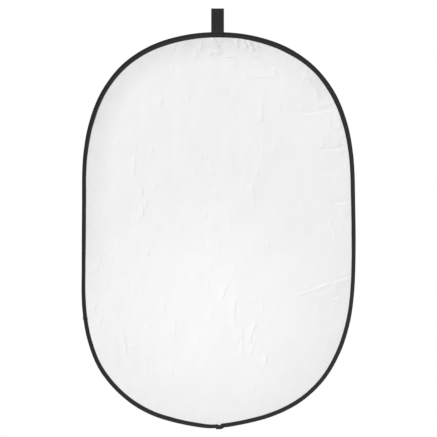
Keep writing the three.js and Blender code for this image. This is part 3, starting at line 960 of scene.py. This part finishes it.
def random_creases(count, tallest, rng):
    """Short creases all over the cloth, more of them upright than level."""
    creases = []
    for _ in range(count):
        middle = DISC_CENTRE + rng.uniform(-1, 1, 2) * [HALF_WIDTH, HALF_HEIGHT]
        turn = math.pi / 2 + rng.normal(0, SMALL_CREASE_TURN)
        half = np.array([math.cos(turn), math.sin(turn)]) * rng.uniform(*SMALL_CREASE_HALF)
        height = rng.uniform(0.25, 1) * tallest
        bow = rng.uniform(-1, 1) * SMALL_CREASE_BOW
        steep = rng.choice([-1, -1, 1])
        flanks = (rng.uniform(*SMALL_STEEP_FLANK), rng.uniform(*SMALL_GENTLE_FLANK))
        creases.append(Crease(middle - half, middle + half, bow, height, steep, *flanks))
    return creases


def gathers(distances, from_seam, rng):
    """Small folds that run inwards from the seam."""
    waver = ripple(distances, GATHER_CELLS["waver"], rng) * GATHER_WAVER
    phase = GATHER_SHIFT * ripple(distances, GATHER_CELLS["phase"], rng)
    wave = np.sin(math.tau * (distances + waver) / GATHER_PITCH + phase)
    varied = np.abs(ripple(distances, GATHER_CELLS["strength"], rng))
    strength = GATHER_LEAST + (1 - GATHER_LEAST) * varied
    plain, spread = GATHER_REACH_SHARES
    reach = GATHER_REACH * (plain + spread * ripple(distances, GATHER_CELLS["reach"], rng))
    rise = ease(from_seam, 0, GATHER_RISE)
    return GATHER_HEIGHT * wave * strength * rise * np.exp(-np.maximum(from_seam, 0) / reach)


def cloth_heights(points, creases, rng):
    """How far each point stands out from the seam's level, and its share of painted shade."""
    inset, distances = rim_coordinates(points)
    from_seam = inset - (seam_width(points[:, 1], distances) - SEAM_MARGIN)
    up = ease(points[:, 1], DISC_CENTRE[1], DISC_CENTRE[1] + HALF_HEIGHT * CROWN_TOP_SHARE)
    run = CROWN_RUN + (CROWN_RUN_AT_TOP - CROWN_RUN) * up
    crown = CROWN_HEIGHT * (1 - np.exp(-np.maximum(from_seam, 0) / run))
    heights = np.zeros(len(points))
    for cell, height in CLOTH_WAVES:
        heights += height * relief(points, cell, rng)
    for crease in creases:
        crease.add_to(heights, points)
    heights *= ease(from_seam, 0, CREASE_FADE)
    heights += crown + gathers(distances, from_seam, rng)
    return np.maximum(heights, LEAST_CLEARANCE - CLOTH_MIDDLE), seam_painted_shade(points, from_seam)


def seam_painted_shade(points, from_seam):
    """How much painted shade greys the cloth along its seam: a share of its whiteness."""
    right, up = ((points - DISC_CENTRE) / [HALF_WIDTH, HALF_HEIGHT]).T
    turn, strength = np.array(SEAM_PAINTED_SHADE).T
    at_seam = np.interp(np.degrees(np.arctan2(up, right)), turn, strength)
    return at_seam * np.clip(1 - from_seam / PAINTED_SHADE_REACH, 0, 1) ** PAINTED_SHADE_CURVE


def cloth(rows, side, creases, rng):
    """One cloth: side is -1 for the face towards -Y and 1 for the back."""
    flat, triangles = flat_cloth(rows, creases)
    wrong = doubled_areas(flat, triangles) * side > 0
    triangles[wrong] = triangles[wrong][:, ::-1]
    heights, painted_shade = cloth_heights(flat, creases, rng)
    depth = side * (CLOTH_MIDDLE + heights)
    points = np.stack([flat[:, 0], depth, flat[:, 1]], axis=1)
    return Surface(points, triangles, flat[triangles], flat[triangles][:, :, 1].mean(axis=1), painted_shade)


# Tape, steel strip and stitches


def folded_half(flats, taper_start, outer, levels, corner, counts, last_share):
    """Half the middle line of a folded tape, [inset, y]: flat, then up over the strip and round."""
    flat_y, full_y = levels
    flat = [(inset, flat_y) for inset in flats]
    taper = [
        (taper_start - share * TAPER_LENGTH, flat_y + (full_y - flat_y) * float(ease(share, 0, 1)))
        for share in np.linspace(0, 1, counts[0])
    ]
    turn = [
        (outer + corner * (1 - math.sin(angle)), full_y - corner * (1 - math.cos(angle)))
        for angle in np.linspace(0, math.pi / 2, counts[1])
    ]
    return np.array([*flat, *taper, *turn, (outer, full_y * last_share)])


def half_tape(edge, stands_out):
    """The middle line of half the rim's tape, from its inner edge to the rim's edge."""
    flats = [edge - share * (edge - SEAM_START) for share in TAPE_FLAT_SHARES]
    outer = TAPE_THICKNESS / 2 - stands_out
    levels = (SEAM_OUTSIDE - TAPE_THICKNESS / 2, RIM_HALF - TAPE_THICKNESS / 2)
    return folded_half(flats, SEAM_START, outer, levels, TAPE_CORNER, TAPE_POINTS, last_share=0.35)


def whole_line(half):
    """A half line, mirrored to the -Y side first, and then itself."""
    return np.concatenate([half * [1, -1], half[::-1]])


def rim_tape():
    """The tape round the whole rim, but for the joint, with the slight waver of a sewn binding."""
    rng = np.random.default_rng(TAPE_SEED)
    distances = np.linspace(TAPE_GAP, RIM_LENGTH - TAPE_GAP, round(RIM_LENGTH / TAPE_STEP))
    at, _ = stations(distances)
    waver = TAPE_EDGE_WAVER * ripple(distances, TAPE_EDGE_CELL, rng)
    edges = seam_width(at[:, 1], distances) + TAPE_LAP + waver
    puff = TAPE_PUFF * ripple(distances, TAPE_PUFF_CELL, rng)
    corner_from = len(TAPE_FLAT_SHARES) + TAPE_POINTS[0]
    sections = []
    for edge, stands_out, rise in zip(edges, by_place(TAPE_STANDS_OUT, distances), puff):
        half = half_tape(edge - TAPE_THICKNESS / 3, stands_out)
        half[:3, 1] += abs(rise)
        half[corner_from:, 1] += min(rise, 0) / 2
        sections.append(thick_line(whole_line(half), TAPE_THICKNESS))
    return sweep(distances, np.array(sections))


def steel_strip():
    gap = BAND_END_GAP / 2
    distances = np.linspace(gap, RIM_LENGTH - gap, round(RIM_LENGTH / BAND_STEP))
    half, edge = BAND_WIDTH / 2, BAND_EDGE_ROUND
    section = np.array([
        (BAND_OUTER, edge - half), (BAND_OUTER + edge, -half), (BAND_INNER - edge, -half),
        (BAND_INNER, edge - half), (BAND_INNER, half - edge), (BAND_INNER - edge, half),
        (BAND_OUTER + edge, half), (BAND_OUTER, half - edge),
    ])
    return sweep(distances, np.repeat(section[None], len(distances), axis=0))


# Along a stitch: share of its length, share of its rise and share of its radius
STITCH_SHARES = (
    (-0.5, -1.0, 0.55), (-0.3, 0.55, 1.0), (0.0, 0.75, 1.08), (0.3, 0.55, 1.0), (0.5, -1.0, 0.55),
)
STITCH_SIDES = 5


def stitches(places, forward, side, level, length, radius):
    """Short threads at places (x, z) that rise from one side's level and dip back into it."""
    centres = np.insert(places, 1, side * level, axis=1)
    along = np.insert(forward, 1, 0, axis=1)
    out = np.array([0, side, 0])
    across = np.cross(out, along)
    rings = []
    for run, rise, thick in STITCH_SHARES:
        middle = centres + along * run * length + out * rise * radius
        for turn in np.arange(STITCH_SIDES) * math.tau / STITCH_SIDES:
            reach = radius * thick
            rings.append(middle + out * math.sin(turn) * reach + across * math.cos(turn) * reach)
    points = np.stack(rings, axis=1)
    one = ring_faces(len(STITCH_SHARES), STITCH_SIDES)
    starts = np.arange(len(centres)) * len(rings)
    faces = (one[None] + starts[:, None, None]).reshape(-1, 4)
    runs = np.array([run * length for run, _, _ in STITCH_SHARES])
    around = np.linspace(0, math.tau * radius, STITCH_SIDES + 1)
    uvs = np.tile(ring_uvs(runs, around), (len(centres), 1, 1))
    return Surface(points.reshape(-1, 3), faces, uvs, np.repeat(places[:, 1], len(one)))


def seam_stitches():
    """The row of stitches that sews the tape to both cloths, front and back."""
    count = round((RIM_LENGTH - 2 * SEAM_GAP) / STITCH_PITCH)
    distances = np.linspace(SEAM_GAP, RIM_LENGTH - SEAM_GAP, count)
    at, inwards = stations(distances)
    places = at + inwards * (seam_width(at[:, 1], distances) - SEAM_MARGIN)[:, None]
    forward = np.stack([-inwards[:, 1], inwards[:, 0]], axis=1)
    thread = (STITCH_LENGTH, THREAD_RADIUS)
    return joined([stitches(places, forward, side, SEAM_OUTSIDE, *thread) for side in (-1, 1)])


# Joint cover and tape lap


def joint_cover():
    """A short tape folded round the rim's joint, with its own inner edge."""
    offsets = np.arange(COVER_FROM, COVER_TO + COVER_STEP / 2, COVER_STEP)
    outwards = by_place(COVER_STANDS_OUT, offsets)
    reaches = by_place(COVER_REACHES_IN, offsets)
    flat_y = SEAM_OUTSIDE + COVER_THICKNESS / 2 + FIT_GAP / 3
    levels = (flat_y, COVER_HALF - COVER_THICKNESS / 2)
    sections = []
    for stands, reach in zip(outwards, reaches):
        flats = (reach - COVER_THICKNESS / 3, reach - COVER_EDGE, COVER_FLATS_IN)
        outer = COVER_THICKNESS / 2 - stands
        half = folded_half(
            flats, COVER_TAPER_IN, outer, levels, COVER_CORNER, COVER_POINTS, last_share=0.3)
        sections.append(thick_line(whole_line(half), COVER_THICKNESS))
    return capped(sweep(offsets, np.array(sections)), len(offsets))


def capped(surface, rings):
    """Closes the first and last rings of a swept tape, across its thickness."""
    sides = len(surface.points) // rings
    across = [(0, 1, 2, sides - 1)]
    across += [(k, k + 1, sides - k, sides + 1 - k) for k in range(2, sides // 2)]
    first = np.array(across)
    ends = np.concatenate([first[:, ::-1], first + (rings - 1) * sides])
    heights = surface.points[ends][:, :, 2].mean(axis=1)
    return Surface(
        surface.points,
        np.concatenate([surface.faces, ends]),
        np.concatenate([surface.uvs, np.zeros((len(ends), 4, 2))]),
        np.concatenate([surface.heights, heights]),
    )


def side_lap():
    """The tape's own end, lapped over its start."""
    left = RIM_POINTS[:, 0] < DISC_CENTRE[0]
    middle = RIM_ALONG[left][np.argmin(np.abs(RIM_POINTS[left, 1] - LAP_HEIGHT))]
    distances = np.linspace(middle - LAP_LENGTH / 2, middle + LAP_LENGTH / 2, LAP_RINGS)
    width = seam_width(LAP_HEIGHT, middle) + LAP_WIDER
    line = whole_line(half_tape(width, by_place(TAPE_STANDS_OUT, middle)))
    _, outside = ways(line)
    sections = []
    for rise in np.linspace(LAP_RISES[1], LAP_RISES[0], LAP_RINGS):
        middle_line = line + outside * (LAP_STANDS_OUT + rise)
        sections.append(thick_line(middle_line, LAP_THICKNESS))
    return capped(sweep(distances, np.array(sections)), LAP_RINGS)


# Hang loop


def webbing_line():
    """The middle line of the webbing, [y, z], from the front leg over the loop to the back one."""
    half = WEBBING_THICKNESS / 2
    lower = [
        (SEAM_OUTSIDE + FIT_GAP + half, RIM_TOP - LEG_LAP),
        (SEAM_OUTSIDE + FIT_GAP + half, RIM_TOP - SEAM_START - LEG_SETTLE),
        (RIM_HALF + FIT_GAP + half, RIM_TOP - POCKET_DEPTH - LEG_SETTLE),
        (RIM_HALF + FIT_GAP + half, RIM_TOP - EDGE_ROUND),
        (FIT_GAP / 2 + half, RIM_TOP + NECK_HEIGHT * NECK_SPREAD_SHARE),
    ]
    fold_centre = -LOOP_GAP / 2
    rise = []
    for up in np.linspace(0, 1, LOOP_STEPS):
        opening = FIT_GAP / 2 + (LOOP_GAP - FIT_GAP) / 2 * float(ease(up, *LOOP_OPEN_SHARES))
        rise.append((opening + half, NECK_LINE + (fold_centre - NECK_LINE) * up))
    radius = LOOP_GAP / 2 + half
    angles = np.linspace(0, math.pi / 2, LOOP_FOLD_STEPS)[1:]
    turn = [(radius * math.cos(a), fold_centre + radius * math.sin(a)) for a in angles]
    side = np.array([*lower, *rise, *turn])
    line = np.concatenate([side[:-1] * [-1, 1], side[::-1]])
    return softened(evenly(line, WEBBING_STEP), LOOP_SOFTENING)


def evenly(line, step):
    lengths = path_lengths(line)
    places = np.linspace(0, lengths[-1], round(lengths[-1] / step) + 1)
    return np.stack([np.interp(places, lengths, line[:, k]) for k in (0, 1)], axis=1)


def softened(line, passes):
    """Rounds the corners of an even line, and keeps its ends."""
    for _ in range(passes):
        line = np.concatenate([line[:1], (line[:-2] + 2 * line[1:-1] + line[2:]) / 4, line[-1:]])
    return line


def webbing_section(half_thick):
    """The outline across the webbing, [x, out]: flat, with a rounded selvedge on each side."""
    half = WEBBING_WIDTH / 2
    outer, inner, flat = (half - inset for inset in SELVEDGE_ROWS)
    rows = [-outer, -inner, *np.linspace(-flat, flat, FLAT_ROWS), inner, outer]
    edge = [(half - inset, share) for inset, share in SELVEDGE]
    edge += [(x, -y) for x, y in edge[::-1]]
    top = [(x, 1.0) for x in rows]
    bottom = [(x, -1.0) for x in rows[::-1]]
    left = [(-x, y) for x, y in edge[::-1]]
    return np.array([*top, *edge, *bottom, *left]) * [1, half_thick]


def hang_webbing():
    """One strip of webbing from the front leg, over the loop, to the back leg."""
    line = webbing_line()
    _, out = ways(line)
    count = len(line)
    places = np.arange(count) * WEBBING_STEP
    ribs = np.abs(np.cos(math.pi * places / RIB_PITCH))
    points = []
    for k in range(count):
        section = webbing_section(WEBBING_THICKNESS / 2 - RIB_DEPTH * (1 - ribs[k]))
        y = line[k, 0] + out[k, 0] * section[:, 1]
        z = line[k, 1] + out[k, 1] * section[:, 1]
        points.append(np.stack([section[:, 0], y, z], axis=1))
    faces = ring_faces(count, len(points[0]))
    points = np.concatenate(points)
    uvs = ring_uvs(places, around_section(webbing_section(WEBBING_THICKNESS / 2)))
    return Surface(points, faces, uvs, points[faces][:, :, 2].mean(axis=1))


def tab_stitches():
    """A box of stitches on each leg of the webbing."""
    half_wide = WEBBING_WIDTH / 2 - TAB_STITCH_MARGIN
    low = RIM_TOP - LEG_LAP + TAB_STITCH_ABOVE_END
    high = low + TAB_STITCH_HEIGHT
    face = SEAM_OUTSIDE + FIT_GAP + WEBBING_THICKNESS
    corners = np.array([(-half_wide, low), (half_wide, low), (half_wide, high), (-half_wide, high)])
    rows = []
    for side in (-1, 1):
        for start, end in zip(corners, np.roll(corners, -1, axis=0)):
            run = end - start
            count = max(2, round(np.linalg.norm(run) / STITCH_PITCH))
            places = start + run * ((np.arange(count) + 0.5) / count)[:, None]
            forward = np.tile(run / np.linalg.norm(run), (count, 1))
            thread = (TAB_STITCH_LENGTH, TAB_THREAD_RADIUS)
            rows.append(stitches(places, forward, side, face, *thread))
    return joined(rows)


# Stage


CAMERA_DISTANCE = 10
FRAME_WIDTH = 1.5992
FRAME_CENTRE = (3.4 * MM, -767.4 * MM)
SENSOR = 36
FLOOR_BELOW = 0.3
FLOOR_RADIUS = 3.2
FLOOR_SIDES = 96
FLOOR_PAINT = 0.5
FLOOR_GLOW = 0.62
WORLD_LIGHT = 0.515
BEAM_SOURCE_RADIUS = 0.2


def camera():
    data = bpy.data.cameras.new("camera")
    data.sensor_width = SENSOR
    data.lens = SENSOR * CAMERA_DISTANCE / FRAME_WIDTH
    data.clip_end = 100
    made = linked("camera", data)
    made.location = (FRAME_CENTRE[0], -CAMERA_DISTANCE, FRAME_CENTRE[1])
    made.rotation_euler = (math.pi / 2, 0, 0)
    bpy.context.scene.camera = made


def white_world():
    world = bpy.data.worlds.new("white_world")
    nodes = Nodes(world)
    light_only = nodes.grey_node("ShaderNodeBackground", WORLD_LIGHT)
    shown = nodes.grey_node("ShaderNodeBackground", 1)
    mix = nodes.add("ShaderNodeMixShader")
    output = nodes.add("ShaderNodeOutputWorld")
    nodes.join(nodes.seen_straight(), mix.inputs["Fac"])
    nodes.join(light_only.outputs["Background"], mix.inputs[1])
    nodes.join(shown.outputs["Background"], mix.inputs[2])
    nodes.join(mix.outputs["Shader"], output.inputs["Surface"])
    bpy.context.scene.world = world


def floor_material():
    """A pale floor that shows as the white background where it is fully lit, and keeps shadows."""
    material = bpy.data.materials.new("pale_floor")
    nodes = Nodes(material)
    paint = nodes.grey_node("ShaderNodeBsdfDiffuse", FLOOR_PAINT)
    glow = nodes.grey_node("ShaderNodeEmission", 1)
    both = nodes.add("ShaderNodeAddShader")
    output = nodes.add("ShaderNodeOutputMaterial")
    lift = nodes.math("MULTIPLY", nodes.seen_straight(), FLOOR_GLOW)
    nodes.join(lift, glow.inputs["Strength"])
    nodes.join(paint.outputs["BSDF"], both.inputs[0])
    nodes.join(glow.outputs["Emission"], both.inputs[1])
    nodes.join(both.outputs["Shader"], output.inputs["Surface"])
    return material


def floor():
    turns = np.arange(FLOOR_SIDES) * math.tau / FLOOR_SIDES
    height = DISC_CENTRE[1] - HALF_HEIGHT - FLOOR_BELOW
    ring = [(FLOOR_RADIUS * math.cos(t), FLOOR_RADIUS * math.sin(t), height) for t in turns]
    mesh = bpy.data.meshes.new("floor")
    mesh.from_pydata(ring, [], [list(range(FLOOR_SIDES))])
    mesh.materials.append(floor_material())
    linked("floor", mesh)


def light(name, kind, place, aim, power):
    """A light at a place that shines at its aim and doesn't show itself, and its data."""
    data = bpy.data.lights.new(name, kind)
    data.energy = power
    made = linked(name, data)
    made.location = place
    made.rotation_mode = "QUATERNION"
    made.rotation_quaternion = (Vector(aim) - Vector(place)).to_track_quat("-Z", "Y")
    made.visible_camera = False
    return data


def lamp(name, place, aim, size, power):
    data = light(name, "AREA", place, aim, power)
    data.shape = "DISK"
    data.size = size


def beam(name, place, aim, reach, power):
    """A far lamp whose light fades out at a reach from where it aims."""
    data = light(name, "SPOT", place, aim, power)
    data.spot_size = 2 * math.atan(reach / (Vector(aim) - Vector(place)).length)
    data.spot_blend = 1
    data.shadow_soft_size = BEAM_SOURCE_RADIUS


def studio():
    lamp("far_left", (-12, -12, 9.5), (0, 0, -0.8), 1.6, 2820)
    beam("front_beam", (-0.04, -8, -1.12), (-0.04, 0, -1.12), 0.48, 220)
    lamp("right_fill", (2.4, -2.4, -1.0), (0.3, 0, -1.0), 0.8, 7)
    lamp("back", (1.2, 2.6, 0.1), (0, 0, -0.8), 1.4, 24)


# Assembly


def main():
    scene = bpy.context.scene
    scene.view_settings.view_transform = "Standard"
    camera()
    white_world()
    floor()
    studio()

    tape_material = black_tape()
    webbing_material = black_webbing()
    thread_material = black_thread()

    tapes = folding_pieces(
        "rim_tape", rim_tape(), tape_material, "binding_tape",
        ("binding", "binding_left", "binding_right"))
    folding_pieces(
        "steel_strip", steel_strip(), blued_steel(), "spring_steel",
        ("spring_band", "spring_band_left", "spring_band_right"))
    threads = folding_pieces("seam_stitches", seam_stitches(), thread_material, "thread")

    rng = np.random.default_rng(FRONT_SEED)
    creases = listed_creases() + random_creases(*FRONT_SMALL_CREASES, rng)
    front = cloth(FRONT_ROWS, -1, creases, rng)
    faces = folding_pieces("white_face", front, white_nylon(), "white_cloth", ("front_cloth",))
    rng = np.random.default_rng(BACK_SEED)
    back = cloth(BACK_ROWS, 1, random_creases(*BACK_SMALL_CREASES, rng), rng)
    backs = folding_pieces("silver_face", back, silver_foil(), "silver_cloth", ("back_cloth",))

    cover = make_object("joint_cover", joint_cover(), tape_material)
    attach(cover, "rim_bottom")
    named(cover, "binding_tape", "joint_wrap")

    lap = make_object("side_lap", side_lap(), tape_material)
    bend_with_fold(lap)
    named(lap, "binding_tape")

    webbing = make_object("hang_webbing", hang_webbing(), webbing_material)
    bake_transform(webbing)
    named(webbing, "webbing", "hang_loop", "tab_leg_front", "tab_leg_back")

    box_stitches = make_object("tab_stitches", tab_stitches(), thread_material)
    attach(box_stitches, "rim_top")
    named(box_stitches, "thread", "tab_stitching_front", "tab_stitching_back")

    sleeve = frame["nodes"]["splice_sleeve"].data
    sleeve.materials.clear()
    sleeve.materials.append(crimped_steel())


main()
